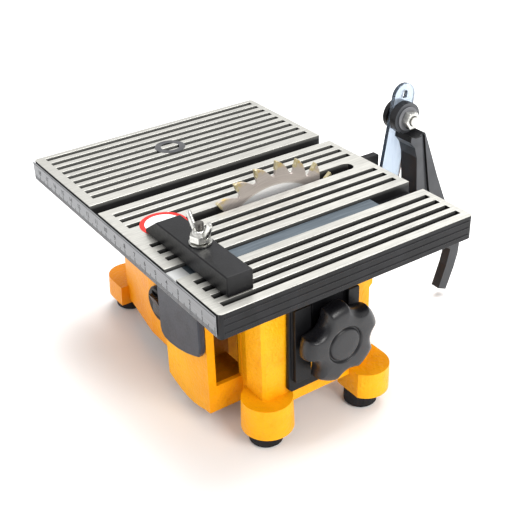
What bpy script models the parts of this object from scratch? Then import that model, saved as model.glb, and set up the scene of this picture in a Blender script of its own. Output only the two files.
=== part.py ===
"""Miniature bench-top circular table saw.

Everything is measured from the centre of the table's top face: +X to the
operator's right, +Y away from the operator, +Z up.  One parent empty, FRAME,
carries those coordinates to the world, where z = 0 is the bench the rubber
feet stand on.
"""
import bpy
import bmesh
from math import sin, cos, pi, radians, acos, atan2, sqrt
from mathutils import Vector, Matrix

# ------------------------------------------------------------------ start
for ob in list(bpy.data.objects):
    bpy.data.objects.remove(ob, do_unlink=True)

MM = 0.001

# ------------------------------------------------------ driving dimensions
TABLE_W = 190.8          # 7 1/2 in
TABLE_D = 145.0          # 5 3/4 in
TABLE_T = 12.7           # 1/2 in
HEIGHT = 102.2           # bench to table top
X_MID = 0.0
Y_MID = 32.2
GAP = 0.3                # clearance left between neighbouring pieces

SLOT_W = 3.4             # decorative table slots
SLOT_DEPTH = 3.0
SLOT_Y = (-66.5, 69.0)
SLOTS_LEFT = [-90.2 + 7.03 * i for i in range(9)]
SLOTS_MID = [-9.0, -2.0, 5.2]
SLOTS_MID_R = [27.8, 35.3, 42.6]
SLOTS_RIGHT = [67.6 + 7.03 * i for i in range(4)]
GROOVE_L = (-25.5, -16.2)
GROOVE_R = (50.0, 60.3)
GROOVE_DEPTH = 6.2
BLADE_SLOT = (12.8, 20.3, -41.0, 62.0)

BLADE_X = 16.5
BLADE_Y = 10.1
BLADE_Z = -33.6
BLADE_R = 50.0
BLADE_T = 1.6
TEETH = 24
TOOTH_PHASE = 87.4

MOTOR_Y = -14.5
MOTOR_Z = -68.0
MOTOR_R = 17.5

WALL = 3.0
BASE_TOP = -23.0
BASE_BOTTOM = -89.6
BASE_SIDE_BOTTOM = -82.0
RIGHT_X = 75.0
LEFT_X = -68.0
BACK_Y = 26.4

BOSS_TOP = -80.6
BOSS_BOTTOM = -92.6
BOSSES = {"fr": (70.7, -34.0), "br": (74.3, 23.3), "fl": (-79.5, -30.5), "bl": (-79.5, 21.0)}
BOSS_R = 13.3
FOOT_R = 8.6

KNOB_Y = -2.2
KNOB_Z = -46.3
KNOB_FACE_X = 92.5
KNOB_R = 21.6
KNOB_ROOT_R = 15.2

PIVOT_Y = 98.3
PIVOT_Z = 17.8
GUARD_LEAN = radians(10.0)

STUD_X = 55.15
STUD_Y = -55.4

SWITCH_X = -12.5
SWITCH_Z = -62.0
FRONT_WALL_Y = -43.2

# --------------------------------------------------------------- materials
def material(name, colour, rough, metal=0.0, alpha=1.0):
    m = bpy.data.materials.new(name)
    m.use_nodes = True
    b = m.node_tree.nodes["Principled BSDF"]
    b.inputs["Base Color"].default_value = (colour[0], colour[1], colour[2], 1.0)
    b.inputs["Roughness"].default_value = rough
    b.inputs["Metallic"].default_value = metal
    b.inputs["Alpha"].default_value = alpha
    m.diffuse_color = (colour[0], colour[1], colour[2], alpha)
    return m


PAINT = material("amber_paint", (0.90, 0.36, 0.012), 0.42)
TABLE = material("ground_aluminium", (0.62, 0.60, 0.55), 0.34, 0.9)
RULE = material("ruler_grey", (0.36, 0.36, 0.36), 0.45, 0.3)
SLATE = material("slate_plastic", (0.075, 0.08, 0.10), 0.42)
BLACK = material("black_plastic", (0.022, 0.022, 0.025), 0.38)
FENCE = material("fence_black", (0.028, 0.028, 0.030), 0.45, 0.2)
STEEL = material("blue_steel", (0.16, 0.19, 0.22), 0.35, 0.9)
ZINC = material("zinc", (0.55, 0.55, 0.52), 0.3, 0.95)
BLADE_M = material("blade_steel", (0.46, 0.43, 0.42), 0.28, 0.95)
RUBBER = material("rubber", (0.028, 0.029, 0.033), 0.75)
CAN = material("motor_can", (0.30, 0.31, 0.32), 0.4, 0.8)
BELT = material("belt_rubber", (0.02, 0.02, 0.02), 0.8)
BEARING = material("bearing_steel", (0.5, 0.5, 0.5), 0.25, 0.95)
CLEAR = material("clear_plastic", (0.80, 0.86, 0.92), 0.08, 0.0, 0.35)
GREYDISC = material("grey_disc", (0.22, 0.22, 0.23), 0.45, 0.3)
RED = material("rocker_red", (0.45, 0.02, 0.02), 0.35)

# ---------------------------------------------------------------- helpers
FRAME = bpy.data.objects.new("table_frame", None)
bpy.context.scene.collection.objects.link(FRAME)
FRAME.location = (-X_MID * MM, -Y_MID * MM, HEIGHT * MM)
NO_ORIGIN = (0.0, 0.0, 0.0)

# axis letter -> function placing (a along the axis, u, v) in space
PLACE = {
    "X": lambda a, u, v: (a, u, v),
    "Y": lambda a, u, v: (u, a, v),
    "Z": lambda a, u, v: (u, v, a),
}


def finish(name, bm, mat, origin=NO_ORIGIN, smooth=None, cutter=False, bevel=0.0, bevel_angle=35):
    """Turn a bmesh in table coordinates (mm) into an object with its origin at `origin`."""
    bmesh.ops.remove_doubles(bm, verts=bm.verts, dist=1e-5)
    bmesh.ops.recalc_face_normals(bm, faces=bm.faces)
    o = Vector(origin)
    for v in bm.verts:
        v.co = (v.co - o) * MM
    mesh = bpy.data.meshes.new(name)
    bm.to_mesh(mesh)
    bm.free()
    ob = bpy.data.objects.new(name, mesh)
    bpy.context.scene.collection.objects.link(ob)
    ob.parent = FRAME
    ob.location = o * MM
    if smooth is not None:
        mesh.shade_smooth()
        mesh.set_sharp_from_angle(angle=radians(smooth))
    if cutter:
        ob.hide_render = True
        ob.display_type = 'WIRE'
    else:
        mesh.materials.append(mat)
    if bevel:
        m = ob.modifiers.new("edge", 'BEVEL')
        m.width = bevel * MM
        m.segments = 2
        m.limit_method = 'ANGLE'
        m.angle_limit = radians(bevel_angle)
    return ob


def add_prism(bm, axis, pts, a0, a1):
    """Closed prism: polygon pts (u, v) between a0 and a1 along the axis."""
    put = PLACE[axis]
    lo = [bm.verts.new(put(a0, u, v)) for u, v in pts]
    hi = [bm.verts.new(put(a1, u, v)) for u, v in pts]
    n = len(pts)
    bm.faces.new(lo)
    bm.faces.new(hi)
    for i in range(n):
        j = (i + 1) % n
        bm.faces.new((lo[i], lo[j], hi[j], hi[i]))


def add_box(bm, x0, x1, y0, y1, z0, z1):
    add_prism(bm, "Z", [(x0, y0), (x1, y0), (x1, y1), (x0, y1)], z0, z1)


def add_turned(bm, axis, centre, profile, seg):
    """Closed turned solid. profile is a list of (radius, a) going round the
    section; a radius of 0 is a point on the axis."""
    put = PLACE[axis]
    cu, cv = centre
    rings = []
    for r, a in profile:
        if r <= 0.0:
            rings.append([bm.verts.new(put(a, cu, cv))])
        else:
            rings.append([bm.verts.new(put(a, cu + r * cos(2 * pi * i / seg), cv + r * sin(2 * pi * i / seg)))
                          for i in range(seg)])
    closed = profile[0][0] > 0.0
    n = len(rings)
    for k in range(n if closed else n - 1):
        A = rings[k]
        B = rings[(k + 1) % n]
        for i in range(seg):
            j = (i + 1) % seg
            if len(A) == 1 and len(B) == 1:
                continue
            if len(A) == 1:
                bm.faces.new((A[0], B[i], B[j]))
            elif len(B) == 1:
                bm.faces.new((A[i], B[0], A[j]))
            else:
                bm.faces.new((A[i], A[j], B[j], B[i]))


def box(name, b, mat, origin=NO_ORIGIN, bevel=0.0, cutter=False):
    bm = bmesh.new()
    add_box(bm, *b)
    return finish(name, bm, mat, origin, bevel=bevel, cutter=cutter)


def prism(name, axis, pts, a0, a1, mat, origin=NO_ORIGIN, smooth=None, bevel=0.0, cutter=False):
    bm = bmesh.new()
    add_prism(bm, axis, pts, a0, a1)
    return finish(name, bm, mat, origin, smooth=smooth, bevel=bevel, cutter=cutter)


def turned(name, axis, centre, profile, mat, origin=NO_ORIGIN, seg=32, cutter=False, smooth=35):
    bm = bmesh.new()
    add_turned(bm, axis, centre, profile, seg)
    return finish(name, bm, mat, origin, smooth=smooth, cutter=cutter)


def rod(name, axis, centre, r, a0, a1, mat, origin=NO_ORIGIN, seg=32, chamfer=0.0, cutter=False):
    c = chamfer
    prof = [(0, a0), (r - c, a0), (r, a0 + c), (r, a1 - c), (r - c, a1), (0, a1)] if c else \
           [(0, a0), (r, a0), (r, a1), (0, a1)]
    return turned(name, axis, centre, prof, mat, origin, seg, cutter)


def ring(name, axis, centre, r_in, r_out, a0, a1, mat, origin=NO_ORIGIN, seg=32):
    return turned(name, axis, centre, [(r_in, a0), (r_out, a0), (r_out, a1), (r_in, a1)], mat, origin, seg)


def boolean(ob, cutter, op='DIFFERENCE'):
    m = ob.modifiers.new(op.lower() + "_" + cutter.name, 'BOOLEAN')
    m.operation = op
    m.object = cutter
    m.solver = 'EXACT'
    return m


def arc(cu, cv, r, a0, a1, n):
    return [(cu + r * cos(radians(a0 + (a1 - a0) * i / n)), cv + r * sin(radians(a0 + (a1 - a0) * i / n)))
            for i in range(n + 1)]


def hexagon(cu, cv, across, turn=0.0):
    r = across / sqrt(3.0)
    return [(cu + r * cos(radians(60 * i + turn)), cv + r * sin(radians(60 * i + turn))) for i in range(6)]


# ============================================================ base casting
# Outer plan, run anticlockwise from the front left corner.
plan = [(LEFT_X, -36.9), (-31.0, FRONT_WALL_Y + 0.5), (-27.0, FRONT_WALL_Y), (30.0, FRONT_WALL_Y), (48.9, -40.0), (49.0, -33.0),
        (60.0, -33.0), (60.4, -37.5), (73.6, -37.5), (RIGHT_X, -36.1), (RIGHT_X, BACK_Y), (LEFT_X, BACK_Y)]
base = prism("base_casting", "Z", plan, BASE_BOTTOM, BASE_TOP, PAINT)

# front blade housing: round-bottomed box standing proud of the front wall
HX0, HX1 = 8.3, 49.2
HOUSE_Y = -52.9
house_pts = [(HX0, BASE_TOP), (HX0, -91.0)] + \
            [(HX0 + (HX1 - HX0) * t, -91.0 - 4.6 * sin(pi * t)) for t in (0.15, 0.3, 0.45, 0.6, 0.75, 0.88)] + \
            [(HX1, -92.0), (HX1, BASE_TOP)]
house = prism("cut_front_housing", "Y", house_pts, HOUSE_Y, -32.0, None, cutter=True)
boolean(base, house, 'UNION')

# rear blade housing, with its bottom following the blade
REAR_X0, REAR_X1, REAR_Y = 8.3, 30.0, 68.0
rear_pts = [(26.0, BASE_TOP), (26.0, -90.0), (42.0, -88.0), (53.0, -83.0), (61.0, -76.5), (REAR_Y, -70.0), (REAR_Y, BASE_TOP)]
rear = prism("cut_rear_housing", "X", rear_pts, REAR_X0, REAR_X1, None, cutter=True)
boolean(base, rear, 'UNION')

# cavity, open at the top and at the bottom
cavity = [(LEFT_X + WALL, -33.9), (-28.8, FRONT_WALL_Y + WALL), (HX0 + WALL, FRONT_WALL_Y + WALL),
          (HX0 + WALL, HOUSE_Y + WALL), (HX1 - WALL, HOUSE_Y + WALL), (HX1 - WALL, -29.8),
          (59.5, -29.8), (61.0, -24.0), (RIGHT_X - WALL, -24.0), (RIGHT_X - WALL, BACK_Y - WALL),
          (REAR_X1 - WALL, BACK_Y - WALL), (REAR_X1 - WALL, REAR_Y - WALL), (REAR_X0 + WALL, REAR_Y - WALL),
          (REAR_X0 + WALL, BACK_Y - WALL), (LEFT_X + WALL, BACK_Y - WALL)]
inside = prism("cut_cavity", "Z", cavity, BASE_BOTTOM - 12, BASE_TOP + 12, None, cutter=True)
boolean(base, inside)

# partition between the blade and the window pocket, and the pocket's floor
boolean(base, box("cut_partition", (24.0, 27.0, HOUSE_Y + 1.0, -12.0, -89.0, BASE_TOP - 0.5), None, cutter=True), 'UNION')
boolean(base, box("cut_pocket_floor", (25.0, HX1 - 1.0, HOUSE_Y + 1.0, -28.5, -80.5, -77.4), None, cutter=True), 'UNION')

# the right-hand walls stop higher than the rest
side = box("cut_side_sill", (50.6, 90, -50, 50, BASE_BOTTOM - 8, BASE_SIDE_BOTTOM), None, cutter=True)
boolean(base, side)

# window through the housing's right wall
win = box("cut_housing_window", (44.0, 56.0, -48.4, -33.4, -76.8, -27.0), None, cutter=True)
boolean(base, win)

# holes: lock stud, switch, cord gland
hole = rod("cut_stud_hole", "X", (KNOB_Y, KNOB_Z), 3.3, 60, 90, None, seg=24, cutter=True)
boolean(base, hole)
hole = rod("cut_switch_hole", "Y", (SWITCH_X, SWITCH_Z), 8.6, -50, -30, None, seg=32, cutter=True)
boolean(base, hole)
hole = rod("cut_gland_hole", "Y", (-40.0, -66.0), 4.4, 20, 35, None, seg=24, cutter=True)
boolean(base, hole)


# four foot lugs, each round outside and running back into the wall
def lug(name, cx, cy, r, tail, draft=0.6):
    """Lug around (cx, cy) whose straight flanks run along X to x = tail."""
    side_ = 1 if cx > tail else -1
    def outline(rr):
        a0, a1 = (-90, 90) if side_ > 0 else (90, 270)
        pts = arc(cx, cy, rr, a0, a1, 16)
        if side_ > 0:
            return pts + [(tail, cy + rr), (tail, cy - rr)]
        return pts + [(tail, cy - rr), (tail, cy + rr)]
    bm = bmesh.new()
    lo = [bm.verts.new((u, v, BOSS_BOTTOM)) for u, v in outline(r)]
    hi = [bm.verts.new((u, v, BOSS_TOP)) for u, v in outline(r - draft)]
    bm.faces.new(lo)
    bm.faces.new(hi)
    for i in range(len(lo)):
        j = (i + 1) % len(lo)
        bm.faces.new((lo[i], lo[j], hi[j], hi[i]))
    return finish(name, bm, None, cutter=True)


boolean(base, turned("cut_lug_fr", "Z", (71.3, -33.3), [(0, BOSS_BOTTOM), (BOSS_R, BOSS_BOTTOM), (BOSS_R - 0.5, -75.4), (0, -75.4)],
                     None, seg=44, cutter=True), 'UNION')
rear_lug = arc(75.6, 25.0, 12.3, -57, 90, 16) + [(66.0, 37.3), (66.0, 14.7)]
boolean(base, prism("cut_lug_br", "Z", rear_lug, BOSS_BOTTOM, -77.8, None, cutter=True), 'UNION')
boolean(base, lug("cut_lug_fl", BOSSES["fl"][0], BOSSES["fl"][1], 12.2, -66.0), 'UNION')
boolean(base, lug("cut_lug_bl", BOSSES["bl"][0], BOSSES["bl"][1], 12.2, -66.0), 'UNION')

# rubber feet
for key, (fx, fy) in BOSSES.items():
    turned("foot_" + key, "Z", (fx, fy),
           [(0, -HEIGHT), (FOOT_R - 1.2, -HEIGHT), (FOOT_R, -HEIGHT + 1.2), (FOOT_R, BOSS_BOTTOM - GAP), (0, BOSS_BOTTOM - GAP)],
           RUBBER, origin=(fx, fy, -HEIGHT), seg=28)

# ======================================================= drive inside base
box("bottom_plate", (LEFT_X + WALL + GAP, 11.0, -33.4, BACK_Y - WALL - GAP, -90.0, -88.0), CAN)


def bearing_post(name, x0, x1):
    pts = [(4.5, -87.7), (15.7, -87.7), (15.7, -46.5), (21.0, -42.0), (21.0, -22.0), (-0.8, -22.0), (-0.8, -42.0), (4.5, -46.5)]
    ob = prism(name, "X", pts, x0, x1, CAN)
    boolean(ob, rod("cut_" + name, "X", (BLADE_Y, BLADE_Z), 8.0, x0 - 2, x1 + 2, None, cutter=True))
    return ob


bearing_post("bearing_post_outer", -24.0, -16.0)
bearing_post("bearing_post_inner", 2.0, 10.0)
ring("bearing_outer", "X", (BLADE_Y, BLADE_Z), 4.3, 7.7, -23.0, -17.0, BEARING)
ring("bearing_inner", "X", (BLADE_Y, BLADE_Z), 4.3, 7.7, 3.0, 9.0, BEARING)

rod("motor_can", "X", (MOTOR_Y, MOTOR_Z), MOTOR_R, -47.7, -17.0, CAN, chamfer=1.2, seg=40)
rod("motor_end_bell", "X", (MOTOR_Y, MOTOR_Z), 16.0, -58.0, -48.0, BLACK, chamfer=1.5, seg=40)
bracket = prism("motor_bracket", "X", [(-32.0, -87.7), (3.4, -87.7), (3.4, -60.0), (-4.0, -50.0), (-25.0, -50.0), (-32.0, -60.0)],
                -16.7, -14.2, CAN)
boolean(bracket, rod("cut_motor_bracket", "X", (MOTOR_Y, MOTOR_Z), 4.0, -20, -10, None, seg=24, cutter=True))

# motor shaft and pulley turn together
M_O = (-7.0, MOTOR_Y, MOTOR_Z)
rod("motor_shaft", "X", (MOTOR_Y, MOTOR_Z), 2.5, -16.6, -1.0, BEARING, origin=M_O, seg=20)
turned("motor_pulley", "X", (MOTOR_Y, MOTOR_Z),
       [(2.8, -12.0), (8.5, -12.0), (8.5, -10.0), (5.5, -9.9), (5.5, -4.1), (8.5, -4.0), (8.5, -2.0), (2.8, -2.0)],
       CAN, origin=M_O, seg=32)

# arbor, flanges, blade, nut and pulley turn together
A_O = (BLADE_X, BLADE_Y, BLADE_Z)
ARB = (BLADE_Y, BLADE_Z)
rod("arbor_shaft", "X", ARB, 4.0, -24.5, 28.0, BEARING, origin=A_O, seg=24, chamfer=0.5)
turned("arbor_pulley", "X", ARB,
       [(4.3, -12.0), (11.0, -12.0), (11.0, -10.0), (8.0, -9.9), (8.0, -4.1), (11.0, -4.0), (11.0, -2.0), (4.3, -2.0)],
       CAN, origin=A_O, seg=36)
turned("flange_inner", "X", ARB,
       [(4.3, 12.2), (11.0, 12.2), (11.0, 15.4), (7.7, 15.4), (7.7, 17.2), (4.3, 17.2)], CAN, origin=A_O, seg=36)
turned("flange_outer", "X", ARB,
       [(4.3, 17.6), (11.0, 17.6), (11.0, 19.4), (9.4, 20.6), (4.3, 20.6)], CAN, origin=A_O, seg=36)
bm = bmesh.new()
add_prism(bm, "X", hexagon(BLADE_Y, BLADE_Z, 13.0, 30.0), 20.9, 26.0)
nut = finish("arbor_nut", bm, ZINC, origin=A_O)
boolean(nut, rod("cut_arbor_nut", "X", ARB, 4.3, 18, 30, None, seg=24, cutter=True))

# saw blade: 24 hooked teeth whose faces look towards the operator at the top
tooth_form = [(50.0, 0.0), (49.5, -1.6), (47.6, -5.6), (44.6, -9.4), (42.6, -11.4), (41.8, -13.0), (42.5, -14.55), (46.0, -14.75)]
outline = []
for i in range(TEETH):
    base_a = TOOTH_PHASE - 360.0 / TEETH * i
    for r_, da in tooth_form:
        a_ = radians(base_a + da)
        outline.append((BLADE_Y + r_ * cos(a_), BLADE_Z + r_ * sin(a_)))
blade = prism("saw_blade", "X", outline, BLADE_X - BLADE_T / 2, BLADE_X + BLADE_T / 2, BLADE_M, origin=A_O)
boolean(blade, rod("cut_blade_bore", "X", ARB, 8.0, 10, 24, None, cutter=True))


# drive belt round both pulleys
def belt_loop(r1, r2):
    """Outline round circle r1 at the motor and r2 at the arbor, in (y, z)."""
    dy, dz = BLADE_Y - MOTOR_Y, BLADE_Z - MOTOR_Z
    d = sqrt(dy * dy + dz * dz)
    a = atan2(dz, dy)
    t = acos((r1 - r2) / d)
    pts = []
    n = 14
    for i in range(n + 1):
        b = a + t + (2 * pi - 2 * t) * i / n
        pts.append((MOTOR_Y + r1 * cos(b), MOTOR_Z + r1 * sin(b)))
    for i in range(n + 1):
        b = a - t + 2 * t * i / n
        pts.append((BLADE_Y + r2 * cos(b), BLADE_Z + r2 * sin(b)))
    return pts


bm = bmesh.new()
inner = belt_loop(5.8 + 0.15, 8.3 + 0.15)
outer = belt_loop(7.9, 10.4)
loops = []
for pts in (inner, outer):
    for a in (-9.5, -4.5):
        loops.append([bm.verts.new((a, u, v)) for u, v in pts])
i0, i1, o0, o1 = loops
n = len(i0)
for k in range(n):
    j = (k + 1) % n
    bm.faces.new((i0[k], i0[j], i1[j], i1[k]))
    bm.faces.new((o0[k], o1[k], o1[j], o0[j]))
    bm.faces.new((i0[k], o0[k], o0[j], i0[j]))
    bm.faces.new((i1[k], i1[j], o1[j], o1[k]))
finish("drive_belt", bm, BELT, smooth=40)

# ========================================================== switch and cord
SW = (SWITCH_X, SWITCH_Z)
body = turned("switch_body", "Y", SW,
              [(0, -33.5), (8.2, -33.5), (8.2, FRONT_WALL_Y - GAP), (10.2, FRONT_WALL_Y - GAP), (10.2, -45.2), (9.4, -46.2), (0, -46.2)],
              BLACK, seg=36)
boolean(body, box("cut_switch_pocket", (SWITCH_X - 4.6, SWITCH_X + 4.6, -60, -41.5, SWITCH_Z - 7.2, SWITCH_Z + 7.2), None, cutter=True))
R_O = (SWITCH_X, -45.0, SWITCH_Z)
tilt = radians(8.0)
rock = []
for dz, dy in [(-5.8, 0.4), (-5.8, -2.9), (0.0, -1.7), (5.8, -2.9), (5.8, 0.4), (0.0, 1.4)]:
    rock.append((R_O[1] + dy * cos(tilt) - dz * sin(tilt), R_O[2] + dy * sin(tilt) + dz * cos(tilt)))
prism("switch_rocker", "X", rock, SWITCH_X - 4.2, SWITCH_X + 4.2, RED, origin=R_O)
turned("cord_gland", "Y", (-40.0, -66.0),
       [(0, BACK_Y - 6), (4.1, BACK_Y - 6), (4.1, BACK_Y + GAP), (7.0, BACK_Y + GAP), (7.0, BACK_Y + 3), (5.0, BACK_Y + 5), (5.0, BACK_Y + 12), (2.6, BACK_Y + 12), (2.6, BACK_Y + 8), (0, BACK_Y + 8)],
       BLACK, seg=28)

# ==================================================== side guide and lock knob
frame_pts = [(-24.9, -72.0), (-22.9, -74.0), (16.0, -74.0), (16.0, -26.0), (8.3, -26.0), (8.3, -68.6),
             (-11.3, -68.6), (-11.3, -26.0), (-24.2, -26.0)]
guide = prism("guide_frame", "X", frame_pts, RIGHT_X + GAP, 77.8, BLACK)
for nm, y0, y1 in (("cut_rail_front", -22.6, -13.4), ("cut_rail_rear", 8.9, 15.4)):
    boolean(guide, box(nm, (76.5, 80.4, y0, y1, -67.5, -26.0), None, cutter=True), 'UNION')

K_O = (82.0, KNOB_Y, KNOB_Z)
KN = (KNOB_Y, KNOB_Z)
rod("knob_stud", "X", KN, 3.0, 66.0, 78.6, ZINC, origin=K_O, seg=24)
ring("knob_washer", "X", KN, 3.3, 8.0, 78.15, 78.75, ZINC, origin=K_O, seg=28)
bm = bmesh.new()
add_prism(bm, "X", hexagon(KNOB_Y, KNOB_Z, 11.0), 66.8, 71.7)
clamp = finish("clamp_nut", bm, ZINC)
boolean(clamp, rod("cut_clamp_nut", "X", KN, 3.3, 60, 74, None, seg=24, cutter=True))


def knob_r(a, k):
    """Five-lobed grip: radius at angle a (degrees), drawn in by factor k."""
    w = 0.5 + 0.5 * cos(radians(5 * (a - 27.0)))
    return (KNOB_ROOT_R + (KNOB_R - KNOB_ROOT_R) * w ** 0.7) * k


bm = bmesh.new()
seg = 60
FX = KNOB_FACE_X
rows = [(79.0, 10.1, 0.0), (81.4, 10.1, 0.0), (81.8, 0, 0.82), (83.2, 0, 0.95), (85.0, 0, 1.0), (89.0, 0, 1.0), (91.2, 0, 0.95),
        (FX, 0, 0.82), (FX + 0.2, 9.4, 0.0), (FX - 0.6, 9.0, 0.0), (FX - 0.6, 8.4, 0.0), (FX, 8.0, 0.0)]
rings = []
for x, r_, k in rows:
    rr = [(r_ if r_ else knob_r(360.0 * i / seg, k)) for i in range(seg)]
    rings.append([bm.verts.new((x, KNOB_Y + rr[i] * cos(2 * pi * i / seg), KNOB_Z + rr[i] * sin(2 * pi * i / seg))) for i in range(seg)])
for A, B in zip(rings, rings[1:]):
    for i in range(seg):
        j = (i + 1) % seg
        bm.faces.new((A[i], A[j], B[j], B[i]))
bm.faces.new(rings[0])
bm.faces.new(rings[-1])
finish("lock_knob", bm, BLACK, origin=K_O, smooth=45)

# ================================================================== table
bm = bmesh.new()
c = 2.0
w2, d2 = TABLE_W / 2, TABLE_D / 2
front = -d2 + 0.6
plan = arc(w2 - c, front + c, c, -90, 0, 3) + arc(w2 - c, d2 - c, c, 0, 90, 3) + \
       arc(-w2 + c, d2 - c, c, 90, 180, 3) + arc(-w2 + c, front + c, c, 180, 270, 3)
table = prism("table_top", "Z", plan, -TABLE_T, 0.0, TABLE)
bm = bmesh.new()
for x in SLOTS_LEFT + SLOTS_MID + SLOTS_MID_R + SLOTS_RIGHT:
    add_box(bm, x - SLOT_W / 2, x + SLOT_W / 2, SLOT_Y[0], SLOT_Y[1], -SLOT_DEPTH, 5.0)
for g in (GROOVE_L, GROOVE_R):
    add_box(bm, g[0], g[1], -90.0, 90.0, -GROOVE_DEPTH, 5.0)
x0, x1, y0, y1 = BLADE_SLOT
bw = (x1 - x0) / 2
add_prism(bm, "Z", arc((x0 + x1) / 2, y0 + bw, bw, 180, 360, 10) + arc((x0 + x1) / 2, y1 - bw, bw, 0, 180, 10), -30.0, 5.0)
cut = finish("cut_table_slots", bm, None, cutter=True)
boolean(table, cut)
boolean(table, box("cut_table_fin", (4.0, 8.4, d2 - 3.0, d2 + 15.5, -TABLE_T + 0.6, -4.2), None, cutter=True), 'UNION')

box("ruler_strip", (-w2 + 0.4, w2 - 1.9, -d2 - 0.3, -d2 + 0.3, -11.2, -1.0), RULE)

apron_pts = [(10.5, -12.9), (10.5, -58.0), (11.4, -61.5), (14.5, -63.6), (20.0, -63.9), (28.0, -62.9), (36.0, -60.9), (43.0, -58.4),
             (47.6, -56.4), (49.6, -53.6), (50.2, -50.0), (50.2, -12.9)]
prism("front_apron", "Y", apron_pts, -57.0, -53.3, SLATE, smooth=30, bevel=0.8)

tongue_pts = [(-11.0, -12.9), (-11.0, -60.0), (KNOB_Y - 3.4, -60.0), (KNOB_Y - 3.4, -36.0)] + \
             arc(KNOB_Y, -36.0, 3.4, 180, 0, 8)[1:-1] + \
             [(KNOB_Y + 3.4, -36.0), (KNOB_Y + 3.4, -60.0), (8.0, -60.0), (8.0, -12.9)]
prism("lift_tongue", "X", tongue_pts, RIGHT_X + 0.35, 77.7, BLACK)

# ============================================================ mitre gauge
S_O = (STUD_X, STUD_Y, -1.6)
g0, g1 = GROOVE_R[0] + GAP, GROOVE_R[1] - GAP
box("mitre_bar", (g0, g1, front + 0.2, 46.0, -5.9, -1.6), STEEL, origin=S_O, bevel=0.3)
rod("mitre_stud", "Z", (STUD_X, STUD_Y), 2.0, -1.3, 20.6, ZINC, origin=S_O, seg=24, chamfer=0.6)
F_O = (STUD_X, STUD_Y, 0.3)
fence = prism("mitre_fence", "Y", [(15.2, 0.3), (87.0, 0.3), (87.0, 10.2), (26.6, 10.2), (15.2, 2.0)], -62.2, -48.9, FENCE, origin=F_O, bevel=0.5)
boolean(fence, rod("cut_fence_hole", "Z", (STUD_X, STUD_Y), 2.4, -4, 20, None, seg=24, cutter=True))
ring("mitre_washer", "Z", (STUD_X, STUD_Y), 2.4, 5.3, 10.5, 11.3, ZINC, origin=F_O, seg=28)

W_O = (STUD_X, STUD_Y, 11.6)
bm = bmesh.new()
add_prism(bm, "Z", hexagon(STUD_X, STUD_Y, 8.4, 20.0), 11.6, 15.4)
wing = finish("wing_nut", bm, ZINC, origin=W_O, bevel=0.3)
boolean(wing, turned("cut_wing_collar", "Z", (STUD_X, STUD_Y), [(0, 15.0), (3.6, 15.0), (3.2, 17.2), (0, 17.2)], None, seg=28, cutter=True), 'UNION')
for sgn, nm in ((1, "cut_wing_a"), (-1, "cut_wing_b")):
    pts = [(2.6, 13.4), (4.5, 13.4), (6.3, 16.6), (8.5, 19.8), (9.3, 21.6), (9.0, 23.2), (7.6, 23.9), (6.2, 23.0), (4.7, 19.6), (2.8, 17.0)]
    bm = bmesh.new()
    add_prism(bm, "Y", [(sgn * u, v) for u, v in pts], -1.1, 1.1)
    rot = Matrix.Rotation(radians(4.0), 4, 'Z')
    for v in bm.verts:
        v.co = rot @ v.co + Vector((STUD_X, STUD_Y, 0))
    boolean(wing, finish(nm, bm, None, cutter=True), 'UNION')
boolean(wing, rod("cut_wing_bore", "Z", (STUD_X, STUD_Y), 2.35, 8, 32, None, seg=24, cutter=True))

# ============================================================ blade guard
# Carried on a bracket behind the rear blade housing.
prism("guard_bracket", "X", [(REAR_Y + GAP, -33.0), (REAR_Y + GAP, -52.0), (74.0, -52.0), (98.4, -42.0), (98.4, -30.0), (76.0, -30.0)],
      15.2, 28.0, BLACK, bevel=0.4)

arm_pts = [(93.0, 8.0), (93.4, 11.6), (97.6, 19.2), (99.0, 19.6), (102.0, 14.6), (105.2, 6.8), (109.1, -3.1), (114.4, -17.0), (120.8, -32.2),
           (128.6, -49.0), (135.4, -63.0), (137.2, -69.5), (136.6, -76.0), (134.4, -84.0), (129.0, -98.4), (122.6, -95.6), (127.6, -81.0), (130.0, -71.0),
           (128.0, -64.5), (121.0, -56.0), (111.0, -49.0), (100.8, -44.0), (99.6, -28.0), (99.2, -20.0), (98.0, -2.0), (96.2, 4.0)]
arm = prism("guard_arm", "X", arm_pts, 15.2, 28.0, BLACK, smooth=30)
PV = (PIVOT_Y, PIVOT_Z)
boolean(arm, rod("cut_arm_spotface", "X", PV, 8.2, 18.6, 40, None, seg=32, cutter=True))
boolean(arm, rod("cut_arm_knuckle", "X", PV, 8.7, 14.1, 18.6, None, seg=40, cutter=True), 'UNION')
boolean(arm, box("cut_arm_tail", (0, 22.0, 96, 150, -110, -60.0), None, cutter=True))
boolean(arm, prism("cut_arm_groove", "X", [(100.6, 11.0), (102.9, 10.4), (104.6, 0.0), (108.4, -22.0), (113.0, -42.0), (108.6, -42.0), (105.2, -22.0), (102.2, 0.0)],
                   26.4, 32.0, None, cutter=True))
boolean(arm, rod("cut_arm_hole", "X", PV, 2.9, 10, 20, None, seg=20, cutter=True))

turned("pivot_screw", "X", PV, [(0, 5.6), (4.4, 5.6), (4.4, 7.8), (2.5, 7.9), (2.5, 24.6), (0, 24.6)], ZINC, seg=24)
bm = bmesh.new()
add_prism(bm, "X", hexagon(PV[0], PV[1], 9.0), 19.8, 23.6)
pn = finish("pivot_nut", bm, ZINC, bevel=0.3)
boolean(pn, rod("cut_pivot_nut", "X", PV, 2.8, 16, 30, None, seg=20, cutter=True))
ring("pivot_disc_left", "X", PV, 2.8, 8.4, 8.1, 10.9, BLACK, seg=36)
ring("pivot_disc_right", "X", PV, 2.8, 6.6, 18.9, 19.5, GREYDISC, seg=36)

G_O = (12.5, PV[0], PV[1])
gw = 7.3


def lean(along, across):
    """Point of the guard strip: along its length (up positive) and across it."""
    s_, c_ = sin(GUARD_LEAN), cos(GUARD_LEAN)
    return (PV[0] + along * s_ + across * c_, PV[1] + along * c_ - across * s_)


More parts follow.
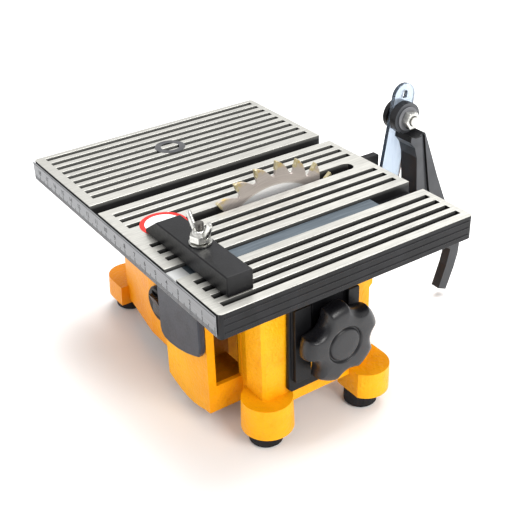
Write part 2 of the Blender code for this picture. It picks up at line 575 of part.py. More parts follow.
strip = []
for u, v in arc(0.0, 10.8, gw, 0, 180, 12):
    strip.append(lean(v, u))
for along, across in ((-60.0, -gw), (-63.0, -gw + 3.0), (-63.0, gw - 3.0), (-60.0, gw)):
    strip.append(lean(along, across))
guard = prism("guard_strip", "X", strip, 11.2, 13.8, CLEAR, origin=G_O)
boolean(guard, rod("cut_guard_bore", "X", PV, 2.8, 8, 24, None, seg=20, cutter=True))
key = [lean(v, u) for u, v in arc(0.0, 13.0, 1.3, 0, 180, 8)] + [lean(10.2, -1.3), lean(10.2, 1.3)]
boolean(guard, prism("cut_guard_key", "X", key, 8, 24, None, cutter=True))
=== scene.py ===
import bpy
import bmesh
from math import sin, cos, pi, radians, sqrt, floor
from mathutils import Vector, Matrix


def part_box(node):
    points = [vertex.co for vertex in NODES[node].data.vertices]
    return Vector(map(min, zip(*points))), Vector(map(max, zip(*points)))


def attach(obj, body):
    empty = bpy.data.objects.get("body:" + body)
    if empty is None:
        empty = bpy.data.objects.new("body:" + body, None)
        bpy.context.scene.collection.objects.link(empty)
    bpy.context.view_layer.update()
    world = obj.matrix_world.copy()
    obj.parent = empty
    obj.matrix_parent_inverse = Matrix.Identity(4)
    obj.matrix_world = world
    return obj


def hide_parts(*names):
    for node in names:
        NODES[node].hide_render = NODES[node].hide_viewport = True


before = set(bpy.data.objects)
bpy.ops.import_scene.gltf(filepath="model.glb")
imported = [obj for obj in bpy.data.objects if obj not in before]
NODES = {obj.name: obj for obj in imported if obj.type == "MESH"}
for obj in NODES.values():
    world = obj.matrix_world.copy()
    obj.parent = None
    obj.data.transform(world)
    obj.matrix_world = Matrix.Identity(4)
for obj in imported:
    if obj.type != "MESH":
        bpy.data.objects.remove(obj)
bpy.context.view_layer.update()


# Table coordinates in millimetres (x right, y back, z up from the table top)
# to the row frame in metres. The frame's own boxes give the offsets.
lo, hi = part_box("table_top")
XM = -1000 * lo[0] - 95.4
H = 1000 * hi[2]
_blo, _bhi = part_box("saw_blade")
YM = 10.1 - 500 * (_blo[1] + _bhi[1])
YM = round(YM, 1)


def W(x, y, z):
    return Vector(((x - XM) / 1000, (y - YM) / 1000, (z + H) / 1000))


# ------------------------------------------------------------------ materials
def lin(r, g, b):
    f = lambda v: (v / 255 / 12.92) if v / 255 <= 0.04045 else ((v / 255 + 0.055) / 1.055) ** 2.4
    return (f(r), f(g), f(b), 1.0)


class Mat:
    def __init__(self, name):
        self.m = bpy.data.materials.new(name)
        self.m.use_nodes = True
        self.t = self.m.node_tree
        self.b = next(n for n in self.t.nodes if n.type == 'BSDF_PRINCIPLED')
        tc = self.t.nodes.new("ShaderNodeTexCoord")
        self.co = tc.outputs["Object"]
        s = self.t.nodes.new("ShaderNodeSeparateXYZ")
        self.t.links.new(self.co, s.inputs[0])
        self.x, self.y, self.z = s.outputs
        self.nrm = None
        g = self.t.nodes.new("ShaderNodeNewGeometry")
        sn = self.t.nodes.new("ShaderNodeSeparateXYZ")
        self.t.links.new(g.outputs["Normal"], sn.inputs[0])
        self.nx, self.ny, self.nz = sn.outputs

    def put(self, sock, v):
        if isinstance(v, bpy.types.NodeSocket):
            self.t.links.new(v, sock)
        else:
            sock.default_value = v

    def math(self, op, a, b=None, c=None, clamp=False):
        n = self.t.nodes.new("ShaderNodeMath")
        n.operation = op
        n.use_clamp = clamp
        for i, v in enumerate((a, b, c)):
            if v is not None:
                self.put(n.inputs[i], v)
        return n.outputs[0]

    def scaled(self, k):
        n = self.t.nodes.new("ShaderNodeMapping")
        self.put(n.inputs["Vector"], self.co)
        n.inputs["Scale"].default_value = k
        return n.outputs[0]

    def noise(self, scale, detail=3.0, rough=0.5, k=(1, 1, 1)):
        n = self.t.nodes.new("ShaderNodeTexNoise")
        self.put(n.inputs["Vector"], self.scaled(k))
        n.inputs["Scale"].default_value = scale
        n.inputs["Detail"].default_value = detail
        n.inputs["Roughness"].default_value = rough
        return n.outputs[0]

    def cells(self, scale, k=(1, 1, 1)):
        n = self.t.nodes.new("ShaderNodeTexVoronoi")
        self.put(n.inputs["Vector"], self.scaled(k))
        n.inputs["Scale"].default_value = scale
        return n.outputs["Distance"]

    def span(self, v, a, b, c=0.0, d=1.0):
        n = self.t.nodes.new("ShaderNodeMapRange")
        self.put(n.inputs["Value"], v)
        for k, val in zip(("From Min", "From Max", "To Min", "To Max"), (a, b, c, d)):
            n.inputs[k].default_value = val
        return n.outputs[0]

    def mix(self, f, a, b):
        n = self.t.nodes.new("ShaderNodeMix")
        n.data_type = 'RGBA'
        self.put(n.inputs[0], f)
        self.put(n.inputs[6], a)
        self.put(n.inputs[7], b)
        return n.outputs[2]

    def bump(self, h, dist, strength=1.0):
        n = self.t.nodes.new("ShaderNodeBump")
        n.inputs["Strength"].default_value = strength
        n.inputs["Distance"].default_value = dist
        self.put(n.inputs["Height"], h)
        if self.nrm is not None:
            self.put(n.inputs["Normal"], self.nrm)
        self.nrm = n.outputs[0]

    def done(self, color, rough, metal=0.0, **plain):
        self.put(self.b.inputs["Base Color"], color)
        self.put(self.b.inputs["Roughness"], rough)
        self.put(self.b.inputs["Metallic"], metal)
        for k, v in plain.items():
            self.b.inputs[k.replace("_", " ")].default_value = v
        if self.nrm is not None:
            self.put(self.b.inputs["Normal"], self.nrm)
        return self.m


def amber():
    m = Mat("amber_cast_paint")
    big = m.noise(34, 3)
    fine = m.noise(1300, 3, 0.6)
    pits = m.cells(430)
    col = m.mix(m.span(big, 0.35, 0.68), lin(240, 160, 6), lin(255, 184, 18))
    col = m.mix(m.span(m.noise(160, 4, 0.6), 0.56, 0.75, 0.0, 0.4), col, lin(232, 138, 3))
    # painted shade: the casting is darkened towards the bottom, near the floor
    col = m.mix(m.span(m.z, 0.010, 0.045, 0.22, 0.0), col, lin(226, 130, 3))
    # painted shade: the front-left wall is darkened towards -x, standing in for the shade it sits in
    left_wall_painted_shade = m.span(m.x, -0.030, 0.004, 0.4, 0.0)
    col = m.mix(left_wall_painted_shade, col, lin(224, 118, 3))
    # painted shade: the inside of the window pocket is darkened to dark brown, more so towards its top
    pocket_painted_shade = m.math('MULTIPLY', m.math('GREATER_THAN', m.x, 0.0235), m.math('LESS_THAN', m.x, (46.8 - XM) / 1000))
    pocket_painted_shade = m.math('MULTIPLY', pocket_painted_shade, m.math('MULTIPLY', m.math('GREATER_THAN', m.y, (-50.4 - YM) / 1000), m.math('LESS_THAN', m.y, (-27.0 - YM) / 1000)))
    col = m.mix(m.math('MULTIPLY', pocket_painted_shade, m.span(m.z, 0.022, 0.066, 0.6, 1.0)), col, lin(104, 38, 3))
    col = m.mix(m.span(m.noise(700, 2), 0.62, 0.8, 0.0, 0.35), col, lin(196, 104, 2))
    m.bump(m.noise(170, 3, 0.55), 0.0006, 0.7)
    m.bump(m.noise(560, 3, 0.6), 0.00045, 0.8)
    m.bump(m.span(pits, 0.0, 0.6), 0.00018, 0.7)
    m.bump(fine, 0.00007, 0.6)
    return m.done(col, m.span(fine, 0.3, 0.7, 0.32, 0.5), Specular_IOR_Level=0.18, Coat_Weight=0.05, Coat_Roughness=0.2)


def table():
    m = Mat("slotted_table")
    top = m.math('GREATER_THAN', m.z, (H - 0.16) / 1000)
    grain = m.noise(1.0, 4, 0.6, (2600, 70, 400))
    grain2 = m.noise(1.0, 2, 0.5, (650, 14, 100))
    spots = m.noise(85, 3)
    al = m.mix(m.span(grain, 0.3, 0.7), lin(158, 157, 152), lin(202, 201, 195))
    al = m.mix(m.span(grain2, 0.35, 0.7, 0.0, 0.5), al, lin(190, 188, 181))
    al = m.mix(m.span(spots, 0.6, 0.8, 0.0, 0.18), al, lin(150, 147, 140))
    bl = m.mix(m.span(m.noise(120, 3), 0.35, 0.7), lin(13, 13, 15), lin(24, 24, 27))
    bl = m.mix(m.span(m.noise(1500, 2), 0.66, 0.8, 0.0, 0.3), bl, lin(70, 70, 72))
    # slot walls facing ±x: bare metal grey near the top edge, with painted shade darkening it deeper into the slot; the
    # grey is weaker towards +x
    bare_wall_and_painted_shade = m.math('MULTIPLY', m.math('GREATER_THAN', m.math('ABSOLUTE', m.nx), 0.7), m.math('LESS_THAN', m.math('ABSOLUTE', m.x), 0.0945))
    bare_wall_and_painted_shade = m.math('MULTIPLY', bare_wall_and_painted_shade, m.span(m.z, (H - 2.4) / 1000, (H - 0.4) / 1000, 0.08, 0.8))
    bare_wall_and_painted_shade = m.math('MULTIPLY', bare_wall_and_painted_shade, m.span(m.x, -0.030, 0.020, 1.0, 0.5))
    bl = m.mix(bare_wall_and_painted_shade, bl, lin(128, 128, 125))
    col = m.mix(top, bl, al)
    m.bump(m.math('MULTIPLY', grain, top), 0.00002, 0.6)
    m.bump(m.math('MULTIPLY', m.noise(900, 2), m.math('SUBTRACT', 1.0, top)), 0.00005, 0.5)
    rough = m.math('ADD', m.math('MULTIPLY', top, m.span(grain, 0.3, 0.7, -0.04, 0.06)), 0.36)
    return m.done(col, rough, m.math('MULTIPLY', top, 0.55), Anisotropic=0.3, Specular_IOR_Level=0.2)


def metal(name, a, b, rough=(0.22, 0.36), k=(1, 1, 1), scale=260.0, met=1.0, fine=0.00002, aniso=0.0):
    m = Mat(name)
    g = m.noise(scale, 4, 0.6, k)
    s = m.noise(70, 3)
    col = m.mix(m.span(g, 0.3, 0.7), a, b)
    col = m.mix(m.span(s, 0.6, 0.85, 0.0, 0.3), col, tuple(v * 0.6 for v in a[:3]) + (1,))
    m.bump(g, fine, 0.7)
    return m.done(col, m.span(s, 0.3, 0.7, *rough), met, Anisotropic=aniso)


def plastic(name, a, b, rough=(0.38, 0.52), grain=1500.0, depth=0.00005, spec=0.22):
    m = Mat(name)
    g = m.noise(grain, 3, 0.6)
    col = m.mix(m.span(m.noise(90, 3), 0.35, 0.7), a, b)
    col = m.mix(m.span(m.noise(420, 3), 0.64, 0.85, 0.0, 0.25), col, tuple(min(1, v * 2.2 + 0.01) for v in a[:3]) + (1,))
    m.bump(g, depth, 0.6)
    m.bump(m.noise(240, 2), depth * 1.5, 0.4)
    return m.done(col, m.span(g, 0.3, 0.7, *rough), 0.0, Specular_IOR_Level=spec)


def blade_mat():
    m = Mat("blade_steel")
    cy, cz = (10.1 - YM) / 1000, (-33.6 + H) / 1000
    dy = m.math('SUBTRACT', m.y, cy)
    dz = m.math('SUBTRACT', m.z, cz)
    r = m.math('SQRT', m.math('ADD', m.math('MULTIPLY', dy, dy), m.math('MULTIPLY', dz, dz)))
    ang = m.math('ARCTAN2', dz, dy)
    v = m.t.nodes.new("ShaderNodeCombineXYZ")
    m.put(v.inputs[0], m.math('MULTIPLY', r, 3200.0))
    m.put(v.inputs[1], m.math('MULTIPLY', ang, 2.5))
    n = m.t.nodes.new("ShaderNodeTexNoise")
    m.put(n.inputs["Vector"], v.outputs[0])
    n.inputs["Scale"].default_value = 1.0
    n.inputs["Detail"].default_value = 4.0
    g = n.outputs[0]
    body = m.mix(m.span(g, 0.3, 0.7), lin(178, 168, 162), lin(200, 191, 185))
    inner = m.mix(m.span(g, 0.3, 0.7), lin(236, 236, 236), lin(252, 252, 252))
    col = m.mix(m.math('LESS_THAN', r, 0.0372), body, inner)
    edge = m.math('MULTIPLY', m.math('GREATER_THAN', r, 0.0372), m.math('LESS_THAN', r, 0.0378))
    col = m.mix(edge, col, lin(196, 190, 184))
    stain = m.math('MULTIPLY', m.span(r, 0.0452, 0.0488), m.span(m.noise(420, 3), 0.35, 0.6))
    col = m.mix(stain, col, lin(206, 176, 78))
    m.bump(g, 0.00001, 0.3)
    return m.done(col, m.span(g, 0.3, 0.7, 0.34, 0.44), 0.55, Anisotropic=0.3)


def ruler():
    m = Mat("ruler_anodised")
    g = m.noise(1.0, 3, 0.6, (60, 400, 2400))
    col = m.mix(m.span(g, 0.3, 0.7), lin(112, 113, 115), lin(142, 143, 145))
    col = m.mix(m.span(m.noise(60, 3), 0.6, 0.85, 0.0, 0.25), col, lin(110, 110, 112))
    m.bump(g, 0.00001, 0.5)
    return m.done(col, m.span(g, 0.3, 0.7, 0.36, 0.46), 0.45)


def bar_mat():
    m = Mat("mitre_bar_steel")
    g = m.noise(1.0, 4, 0.6, (1600, 40, 300))
    col = m.mix(m.span(g, 0.3, 0.7), lin(74, 84, 92), lin(100, 110, 118))
    col = m.mix(m.math('LESS_THAN', m.y, (-63.5 - YM) / 1000), col, lin(205, 206, 205))
    m.bump(g, 0.00001, 0.5)
    return m.done(col, m.span(g, 0.3, 0.7, 0.3, 0.42), 0.6)


def clear():
    m = Mat("clear_guard_plastic")
    s = m.noise(1.0, 4, 0.6, (300, 900, 60))
    col = m.mix(m.span(s, 0.5, 0.75), lin(206, 219, 234), lin(184, 201, 221))
    # painted shade: the strip's edge faces, those not facing ±x, are tinted dark grey-blue for the dark look of clear
    # edges
    edge = m.math('LESS_THAN', m.math('ABSOLUTE', m.nx), 0.75)
    col = m.mix(edge, col, lin(72, 82, 94))
    m.bump(s, 0.00001, 0.35)
    return m.done(col, m.span(s, 0.4, 0.8, 0.06, 0.18), 0.0, Transmission_Weight=0.66, IOR=1.45)


BLACK = plastic("satin_black_moulding", lin(12, 12, 14), lin(20, 20, 23))
KNOB_B = plastic("knob_black", lin(16, 16, 19), lin(27, 27, 31), (0.26, 0.38), 1900, 0.00003, 0.42)
ARM_B = plastic("arm_black", lin(20, 20, 23), lin(32, 32, 36), (0.28, 0.42), 1300, 0.00004, 0.34)
SLATE = plastic("slate_moulding", lin(40, 42, 49), lin(54, 57, 66), (0.34, 0.46), 1100, 0.00004, 0.3)
FENCE = plastic("fence_black_oxide", lin(10, 10, 12), lin(19, 19, 22), (0.3, 0.46), 800, 0.00005, 0.28)
RUBBER = plastic("rubber_foot", lin(18, 18, 21), lin(30, 30, 34), (0.66, 0.8), 900, 0.00008, 0.3)
BELT = plastic("belt_rubber", lin(22, 22, 22), lin(34, 34, 34), (0.7, 0.85), 700, 0.0001, 0.25)
ROCKER = plastic("rocker_black", lin(14, 14, 16), lin(24, 24, 27), (0.22, 0.32), 1200, 0.00002, 0.6)
GREYD = plastic("grey_disc", lin(112, 113, 117), lin(132, 133, 137), (0.4, 0.5), 1200, 0.00004)
ZINC = metal("zinc_plate", lin(176, 176, 172), lin(222, 221, 216), (0.2, 0.34), (1, 1, 1), 420)
CAN = metal("plated_steel", lin(140, 143, 146), lin(176, 178, 180), (0.32, 0.46), (1, 1, 1), 240)
BEARING = metal("bearing_steel", lin(190, 190, 190), lin(222, 222, 222), (0.14, 0.24), (12, 1, 1), 160)
PAINT, TABLE, BLADE_M, RULER, BAR, CLEAR = amber(), table(), blade_mat(), ruler(), bar_mat(), clear()
STUD_M = metal("stud_dark", lin(70, 68, 66), lin(120, 117, 112), (0.28, 0.42), (1, 1, 1), 500)
TRIM = metal("slot_rib_metal", lin(120, 120, 118), lin(168, 168, 164), (0.34, 0.46), (1, 0.05, 1), 900, 0.6)
CARBIDE = metal("brazed_tip", lin(176, 158, 96), lin(214, 206, 180), (0.26, 0.4), (1, 1, 1), 620, 0.6)
INK = plastic("graduation_ink", lin(26, 26, 28), lin(38, 38, 40), (0.5, 0.6), 2000, 0.00001)
RINGRED = plastic("ring_red", lin(196, 36, 32), lin(210, 48, 42), (0.34, 0.44), 900, 0.00001)
PAPER = plastic("sticker_white", lin(226, 226, 224), lin(238, 238, 236), (0.36, 0.46), 900, 0.00001)
MARK = plastic("printed_mark", lin(64, 64, 66), lin(82, 82, 84), (0.5, 0.6), 1400, 0.00001)



def arm_mat():
    m = Mat("guard_arm_satin")
    g = m.noise(1300, 3, 0.6)
    edge = m.mix(m.span(m.noise(90, 3), 0.35, 0.7), lin(12, 12, 14), lin(24, 24, 27))
    # painted light: the arm's +x facing side is painted lighter grey as its lit, reflecting side, with painted shade
    # darkening it towards the bottom
    painted_lit_flank = m.mix(m.span(m.noise(60, 3), 0.35, 0.7), lin(62, 64, 68), lin(84, 86, 90))
    painted_lit_flank = m.mix(m.span(m.z, (-40 + H) / 1000, (12 + H) / 1000, 0.65, 0.0), painted_lit_flank, lin(30, 31, 34))
    col = m.mix(m.span(m.nx, 0.6, 0.9), edge, painted_lit_flank)
    m.bump(g, 0.00004, 0.6)
    m.bump(m.noise(240, 2), 0.00008, 0.4)
    return m.done(col, m.span(g, 0.3, 0.7, 0.28, 0.42), 0.0, Specular_IOR_Level=0.34)


ARM_G = arm_mat()
LOOK = {
    "base_casting": PAINT, "table_top": TABLE, "saw_blade": BLADE_M, "ruler_strip": RULER, "mitre_bar": BAR, "guard_strip": CLEAR,
    "front_apron": SLATE, "mitre_fence": FENCE, "switch_rocker": ROCKER, "drive_belt": BELT, "lock_knob": KNOB_B, "guard_arm": ARM_G,
    "guard_bracket": ARM_B, "pivot_disc_right": GREYD,
}
for n in ("foot_fr", "foot_br", "foot_fl", "foot_bl"):
    LOOK[n] = RUBBER
for n in ("bottom_plate", "bearing_post_outer", "bearing_post_inner", "motor_can", "motor_bracket", "motor_pulley", "arbor_pulley",
          "flange_inner", "flange_outer"):
    LOOK[n] = CAN
for n in ("bearing_outer", "bearing_inner", "motor_shaft", "arbor_shaft"):
    LOOK[n] = BEARING
for n in ("motor_end_bell", "switch_body", "cord_gland", "guide_frame", "pivot_disc_left", "lift_tongue"):
    LOOK[n] = BLACK
for n in ("clamp_nut", "pivot_screw", "pivot_nut", "arbor_nut", "knob_stud", "knob_washer", "mitre_stud", "mitre_washer", "wing_nut"):
    LOOK[n] = ZINC

EDGE = {"base_casting": 1.1, "front_apron": 0.5, "mitre_fence": 0.5, "guard_arm": 0.7, "guard_bracket": 0.4, "guide_frame": 0.5,
        "pivot_nut": 0.35, "arbor_nut": 0.4, "lift_tongue": 0.3, "mitre_bar": 0.25, "table_top": 0.3, "bearing_post_outer": 0.5,
        "bearing_post_inner": 0.5, "motor_bracket": 0.4, "bottom_plate": 0.3, "switch_rocker": 0.4, "clamp_nut": 0.3, "wing_nut": 0.35,
        "guard_strip": 0.25, "ruler_strip": 0.12, "saw_blade": 0.12}
for name, ob in NODES.items():
    m = LOOK[name]
    if not ob.material_slots:
        ob.data.materials.append(m)
    for s in ob.material_slots:
        s.link = 'OBJECT'
        s.material = m
    if name in EDGE:
        w = ob.modifiers.new("weld", 'WELD')
        w.merge_threshold = 2e-6
        e = ob.modifiers.new("edge", 'BEVEL')
        e.width = EDGE[name] / 1000
        e.segments = 3
        e.limit_method = 'ANGLE'
        e.angle_limit = radians(32)
        e.use_clamp_overlap = True
        e.harden_normals = False


# --------------------------------------------------------------------- pieces
def piece(name, bm, mat, body, smooth=None, replaces=(), bevel=0.0):
    """Mesh in table millimetres to a piece in the row frame."""
    bmesh.ops.recalc_face_normals(bm, faces=bm.faces)
    for v in bm.verts:
        v.co = W(*v.co)
    me = bpy.data.meshes.new(name)
    bm.to_mesh(me)
    bm.free()
    if smooth is not None:
        me.shade_smooth()
        me.set_sharp_from_angle(angle=radians(smooth))
    ob = bpy.data.objects.new(name, me)
    bpy.context.scene.collection.objects.link(ob)
    me.materials.append(mat)
    if bevel:
        e = ob.modifiers.new("edge", 'BEVEL')
        e.width = bevel / 1000
        e.segments = 2
        e.limit_method = 'ANGLE'
        e.angle_limit = radians(35)
    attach(ob, body)
    if replaces:
        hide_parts(*replaces)
    return ob


def prism(bm, place, pts, a0, a1):
    lo_ = [bm.verts.new(place(a0, u, v)) for u, v in pts]
    hi_ = [bm.verts.new(place(a1, u, v)) for u, v in pts]
    bm.faces.new(lo_)
    bm.faces.new(hi_)
    for i in range(len(pts)):
        j = (i + 1) % len(pts)
        bm.faces.new((lo_[i], lo_[j], hi_[j], hi_[i]))


ALONG_X = lambda a, u, v: (a, u, v)
ALONG_Y = lambda a, u, v: (u, a, v)
ALONG_Z = lambda a, u, v: (u, v, a)


def slab(bm, x0, x1, y0, y1, z0, z1):
    prism(bm, ALONG_Z, [(x0, y0), (x1, y0), (x1, y1), (x0, y1)], z0, z1)


def lathe(bm, place, cu, cv, rows, seg=64, shape=None):
    """rows of (radius, along); a radius of 0 closes an end. shape(angle, row) scales the radius."""
    rings = []
    for k, (r, a) in enumerate(rows):
        if r <= 0:
            rings.append([bm.verts.new(place(a, cu, cv))])
        else:
            ring = []
            for i in range(seg):
                t = 2 * pi * i / seg
                f = shape(t, r, a) if shape else r
                ring.append(bm.verts.new(place(a, cu + f * cos(t), cv + f * sin(t))))
            rings.append(ring)
    closed = rows[0][0] > 0
    for k in range(len(rings) if closed else len(rings) - 1):
        A, B = rings[k], rings[(k + 1) % len(rings)]
        for i in range(seg):
            j = (i + 1) % seg
            if len(A) == 1 and len(B) > 1:
                bm.faces.new((A[0], B[i], B[j]))
            elif len(B) == 1 and len(A) > 1:
                bm.faces.new((A[i], B[0], A[j]))
            elif len(A) > 1:
                bm.faces.new((A[i], A[j], B[j], B[i]))


def threaded(bm, place, cu, cv, r, a0, a1, pitch, seg=28, depth=None):
    """Closed rod with a V thread between a0 and a1."""
    d = depth if depth else pitch * 0.42
    steps = int((a1 - a0) / pitch * 7)
    rings = []
    for k in range(steps + 1):
        a = a0 + (a1 - a0) * k / steps
        ring = []
        for i in range(seg):
            t = 2 * pi * i / seg
            f = (a / pitch - i / seg) % 1.0
            cut = d * abs(2 * f - 1)
            end = min(1.0, 0.3 + (a - a0) / pitch, 0.3 + (a1 - a) / pitch)
            rr = r - d + (d - cut) * max(0.0, end)
            ring.append(bm.verts.new(place(a, cu + rr * cos(t), cv + rr * sin(t))))
        rings.append(ring)
    for A, B in zip(rings, rings[1:]):
        for i in range(seg):
            j = (i + 1) % seg
            bm.faces.new((A[i], A[j], B[j], B[i]))
    bm.faces.new(rings[0])
    bm.faces.new(rings[-1])


# ruler graduations, 1 mm apart, longer at 5 and 10 mm, and plain centimetre numerals
FRONT = -72.8
bm = bmesh.new()
for i in range(0, 188):
    x = 93.0 - i
    hgt = 4.4 if i % 10 == 0 else (3.4 if i % 5 == 0 else 2.2)
    wd = 0.18 if i % 10 == 0 else 0.15
    slab(bm, x - wd, x + wd, FRONT - 0.05, FRONT + 0.05, -11.0, -11.0 + hgt)
slab(bm, -94.6, 93.3, FRONT - 0.05, FRONT + 0.05, -1.55, -1.35)
piece("ruler_ticks", bm, INK, "table")

bm = bmesh.new()
for i in range(1, 19):
    cu = bpy.data.curves.new("num", 'FONT')
    cu.body = str(i)
    cu.size = 3.6
    cu.align_x = 'CENTER'
    cu.extrude = 0.05
    cu.resolution_u = 3
    ob = bpy.data.objects.new("num", cu)
    bpy.context.scene.collection.objects.link(ob)
    bpy.context.view_layer.update()
    dg = bpy.context.evaluated_depsgraph_get()
    me = bpy.data.meshes.new_from_object(ob.evaluated_get(dg))
    M = Matrix(((1, 0, 0, 93.0 - 10 * i), (0, 0, 1, FRONT), (0, 1, 0, -6.0), (0, 0, 0, 1)))
    me.transform(M)
    bm.from_mesh(me)
    bpy.data.objects.remove(ob)
    bpy.data.meshes.remove(me)
    bpy.data.curves.remove(cu)
bmesh.ops.remove_doubles(bm, verts=bm.verts, dist=1e-4)
piece("ruler_numerals", bm, INK, "table")

# shallow ridges on the table's sides
for name, sx in (("side_ridges_right", 1), ("side_ridges_left", -1)):
    bm = bmesh.new()
    for z0, z1 in ((-3.3, -2.1), (-6.7, -5.7), (-10.6, -9.4)):
        pts = [(sx * 95.2, z0), (sx * 95.2, z1), (sx * 95.66, z1 - 0.3), (sx * 95.66, z0 + 0.3)]
        prism(bm, ALONG_Y, pts, -69.4, 70.0)
    piece(name, bm, TABLE, "table", bevel=0.12)

# plain ring sticker and a plain round mark, both without any wording
bm = bmesh.new()
lathe(bm, ALONG_Z, 12.8, -51.0, [(9.3, 0.02), (11.7, 0.02), (11.7, 0.14), (9.3, 0.14)], 72)
piece("sticker_ring", bm, RINGRED, "table", smooth=30)
bm = bmesh.new()
lathe(bm, ALONG_Z, 12.8, -51.0, [(0, 0.02), (9.25, 0.02), (9.25, 0.12), (0, 0.12)], 72)
piece("sticker_disc", bm, PAPER, "table", smooth=30)
bm = bmesh.new()
lathe(bm, ALONG_Z, -64.0, -3.5, [(5.2, 0.02), (8.6, 0.02), (8.6, 0.10), (5.2, 0.10)], 56)
piece("printed_ring", bm, MARK, "table", smooth=30)

# carbide tips, one brazed on the face of each tooth
TIP_Y, TIP_Z = 10.1, -33.6
bm = bmesh.new()
for i in range(24):
    a = radians(87.4 - 15.0 * i)
    e = (cos(a), sin(a))
    t = (-sin(a), cos(a))
    def at(r, s):
        return (TIP_Y + r * e[0] + s * t[0], TIP_Z + r * e[1] + s * t[1])
    pts = [at(50.0, 0.12), at(49.7, -1.2), at(45.6, -0.8), at(45.3, 0.45)]
    prism(bm, ALONG_X, pts, 15.4, 17.6)
piece("blade_tips", bm, CARBIDE, "arbor", bevel=0.15)
bm = bmesh.new()
lathe(bm, ALONG_X, TIP_Y, TIP_Z, [(36.9, 15.62), (37.6, 15.62), (37.6, 17.38), (36.9, 17.38)], 120)
piece("blade_ring", bm, BLADE_M, "arbor", smooth=30)

# threaded studs: the mitre stud is placed; the pivot screw's threaded mesh is built and then freed unused
bm = bmesh.new()
threaded(bm, ALONG_Z, 55.15, -55.4, 2.0, -1.3, 20.6, 0.7, 24)
piece("stud_thread", bm, STUD_M, "mitre_slider", smooth=50, replaces=("mitre_stud",))
bm = bmesh.new()
threaded(bm, ALONG_X, 98.3, 17.8, 2.5, 8.2, 24.8, 0.8, 24)
lathe(bm, ALONG_X, 98.3, 17.8, [(0, 5.6), (1.6, 5.62), (1.6, 6.6), (2.2, 6.6), (2.2, 5.65), (3.4, 5.7), (4.2, 6.3), (4.4, 7.0), (4.4, 8.0), (2.3, 8.1), (0, 8.1)], 40)
piece("pivot_screw_detail", bm, ZINC, "BODY_GUARD", smooth=40, replaces=("pivot_screw",)) if False else bm.free()

# five-lobed knob with rounded lobes, ring groove and cap
KY, KZ = -2.2, -46.3


def knob_shape(t, r, a):
    if r < 11.0:
        return r
    turn = (t - radians(63.0)) / radians(72.0) + 0.5
    d = turn % 1.0 - 0.5
    phi = d * radians(72.0)
    far = 25.4 + (1.0, -0.2, 0.2, 1.6, 1.6)[int(floor(turn)) % 5]
    bite = 9.4
    q = bite * bite - (far * sin(phi)) ** 2
    full = 21.2
    if q > 0:
        cut_r = far * cos(phi) - sqrt(q)
        h = max(0.0, 1.0 - abs(cut_r - 21.2) / 2.8)
        full = min(21.2, cut_r) - h * h * 0.7
    k = r / 21.6
    return full * k if r > 15.5 else min(full * k + 1.2 * (1 - k), r + 0.4)


bm = bmesh.new()
lathe(bm, ALONG_X, KY, KZ, [(0, 79.0), (9.7, 79.0), (10.1, 79.4), (10.1, 81.3), (16.2, 81.7), (18.8, 82.0), (20.3, 82.8), (21.2, 84.1), (21.55, 85.8),
                            (21.6, 87.4), (21.35, 89.0), (20.7, 90.4), (19.6, 91.5), (18.2, 92.2), (16.8, 92.5), (10.6, 92.5), (10.1, 92.45), (9.75, 92.1),
                            (9.5, 91.5), (9.1, 91.2), (8.7, 91.3), (8.45, 91.9), (8.1, 92.35), (7.4, 92.5), (4.0, 92.55), (0, 92.55)], 200, knob_shape)
piece("star_knob", bm, KNOB_B, "knob", smooth=60, replaces=("lock_knob",))

# wing nut: chamfered hexagon, collar and two rolled wings
bm = bmesh.new()
def hexring(r, z, turn=20.0):
    return [bm.verts.new((55.15 + r * cos(radians(60 * i + turn)), -55.4 + r * sin(radians(60 * i + turn)), z)) for i in range(6)]
def hexwall(A, B):
    n = len(A)
    for i in range(n):
        bm.faces.new((A[i], A[(i + 1) % n], B[(i + 1) % n], B[i]))
R6 = 8.4 / sqrt(3)
levels = [(R6 * 0.9, 11.6), (R6, 11.95), (R6, 15.0), (R6 * 0.88, 15.5)]
rings = [hexring(r, z) for r, z in levels]
for A, B in zip(rings, rings[1:]):
    hexwall(A, B)
bm.faces.new(rings[0])
bm.faces.new(rings[-1])
lathe(bm, ALONG_Z, 55.15, -55.4, [(0, 15.3), (3.75, 15.3), (3.6, 16.2), (3.2, 17.1), (2.5, 17.4), (0, 17.4)], 40)
for sgn in (1, -1):
    c4, s4 = cos(radians(4.0)), sin(radians(4.0))
    def wpt(u, z, n):
        return (55.15 + (sgn * u) * c4 - n * s4, -55.4 + (sgn * u) * s4 + n * c4, z)
    path = [(2.4, 13.6, 1.7, 1.25), (3.8, 15.4, 1.9, 1.2), (5.2, 17.4, 1.9, 1.15), (6.5, 19.4, 1.8, 1.1), (7.4, 21.0, 1.75, 1.15), (7.75, 22.4, 1.5, 1.15), (7.7, 23.4, 0.9, 0.9)]
    secs = []
    for k, (u, z, hw, th) in enumerate(path):
        p = path[max(k - 1, 0)]
        q = path[min(k + 1, len(path) - 1)]
        du, dz = q[0] - p[0], q[1] - p[1]
        L = sqrt(du * du + dz * dz)
        nu, nz = dz / L, -du / L
        sec = []
        for i in range(14):
            t = 2 * pi * i / 14
            off, n = hw * cos(t), th * sin(t)
            sec.append(bm.verts.new(wpt(u + nu * off, z + nz * off, n)))
        secs.append(sec)
    for A, B in zip(secs, secs[1:]):
        hexwall(A, B)
    bm.faces.new(secs[0])
    bm.faces.new(secs[-1])
piece("wing_nut_detail", bm, ZINC, "wing", smooth=42, replaces=("wing_nut",))

# thin ribs along the bottom of the slots
bm = bmesh.new()
for x in (-9.0, -2.0, 5.2, 27.8, 35.3, 42.6, 67.6, 74.63, 81.66, 88.69):
    slab(bm, x + 0.2, x + 0.75, -66.3, 68.8, -4.0, -1.7)
piece("slot_ribs", bm, TRIM, "table", bevel=0.1)

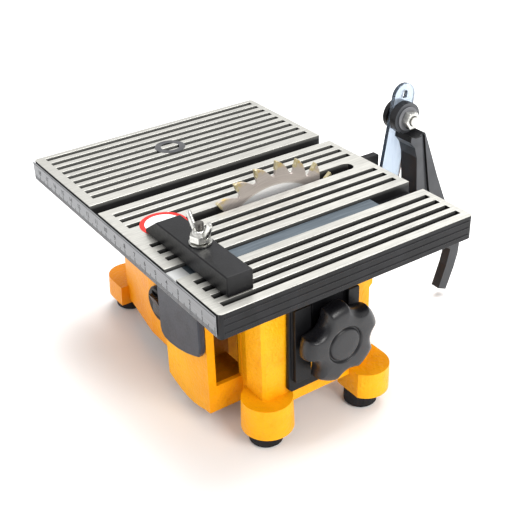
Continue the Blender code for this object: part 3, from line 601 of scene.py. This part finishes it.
# ---------------------------------------------------------- floor, light, camera
bm = bmesh.new()
R = 6.0
bmesh.ops.create_grid(bm, x_segments=2, y_segments=2, size=R)
me = bpy.data.meshes.new("floor")
bm.to_mesh(me)
bm.free()
floor_ob = bpy.data.objects.new("floor", me)
bpy.context.scene.collection.objects.link(floor_ob)
fm = Mat("floor_white")
me.materials.append(fm.done(fm.mix(fm.span(fm.noise(3.0, 2), 0.3, 0.7), (0.965, 0.965, 0.965, 1.0), (0.985, 0.985, 0.985, 1.0)), 0.8, Specular_IOR_Level=0.1))


def area(name, loc, aim, size, power, color=(1, 1, 1)):
    L = bpy.data.lights.new(name, 'AREA')
    L.shape = 'RECTANGLE'
    L.size, L.size_y = size
    L.energy = power
    L.color = color
    ob = bpy.data.objects.new(name, L)
    ob.location = loc
    ob.rotation_euler = (Vector(aim) - Vector(loc)).to_track_quat('-Z', 'Y').to_euler()
    bpy.context.scene.collection.objects.link(ob)
    return ob


area("key_right", (0.9, 0.05, 0.62), (0, 0, 0.05), (0.5, 0.5), 6.0, (1.0, 0.985, 0.96))
area("top_soft", (-0.15, 0.30, 1.15), (0, 0, 0.08), (0.8, 0.8), 18.5)
area("front_fill", (-0.2, -1.1, 0.50), (0, 0, 0.06), (0.5, 0.5), 2.2, (0.97, 0.98, 1.0))
wd = bpy.data.worlds.new("studio")
wd.use_nodes = True
bgn = next(n for n in wd.node_tree.nodes if n.type == 'BACKGROUND')
bgn.inputs[0].default_value = (1.0, 1.0, 1.0, 1.0)
bgn.inputs[1].default_value = 0.72
bpy.context.scene.world = wd
bpy.context.scene.view_settings.view_transform = 'Standard'

az, el, roll = radians(56.75), radians(30.55), radians(-1.90)
back = Vector((sin(az) * cos(el), -cos(az) * cos(el), sin(el)))
right = Vector((cos(az), sin(az), 0))
up = back.cross(right)
r2 = cos(roll) * right + sin(roll) * up
u2 = -sin(roll) * right + cos(roll) * up
cam = bpy.data.cameras.new("camera")
cam.sensor_width = 36
cam.lens = 67.55
cam.clip_start = 0.01
cob = bpy.data.objects.new("camera", cam)
loc = Vector((0.3746 - XM / 1000, -0.2364 - YM / 1000, 0.2194 + H / 1000))
cob.matrix_world = Matrix(((r2.x, u2.x, back.x, loc.x), (r2.y, u2.y, back.y, loc.y), (r2.z, u2.z, back.z, loc.z), (0, 0, 0, 1)))
bpy.context.scene.collection.objects.link(cob)
bpy.context.scene.camera = cob
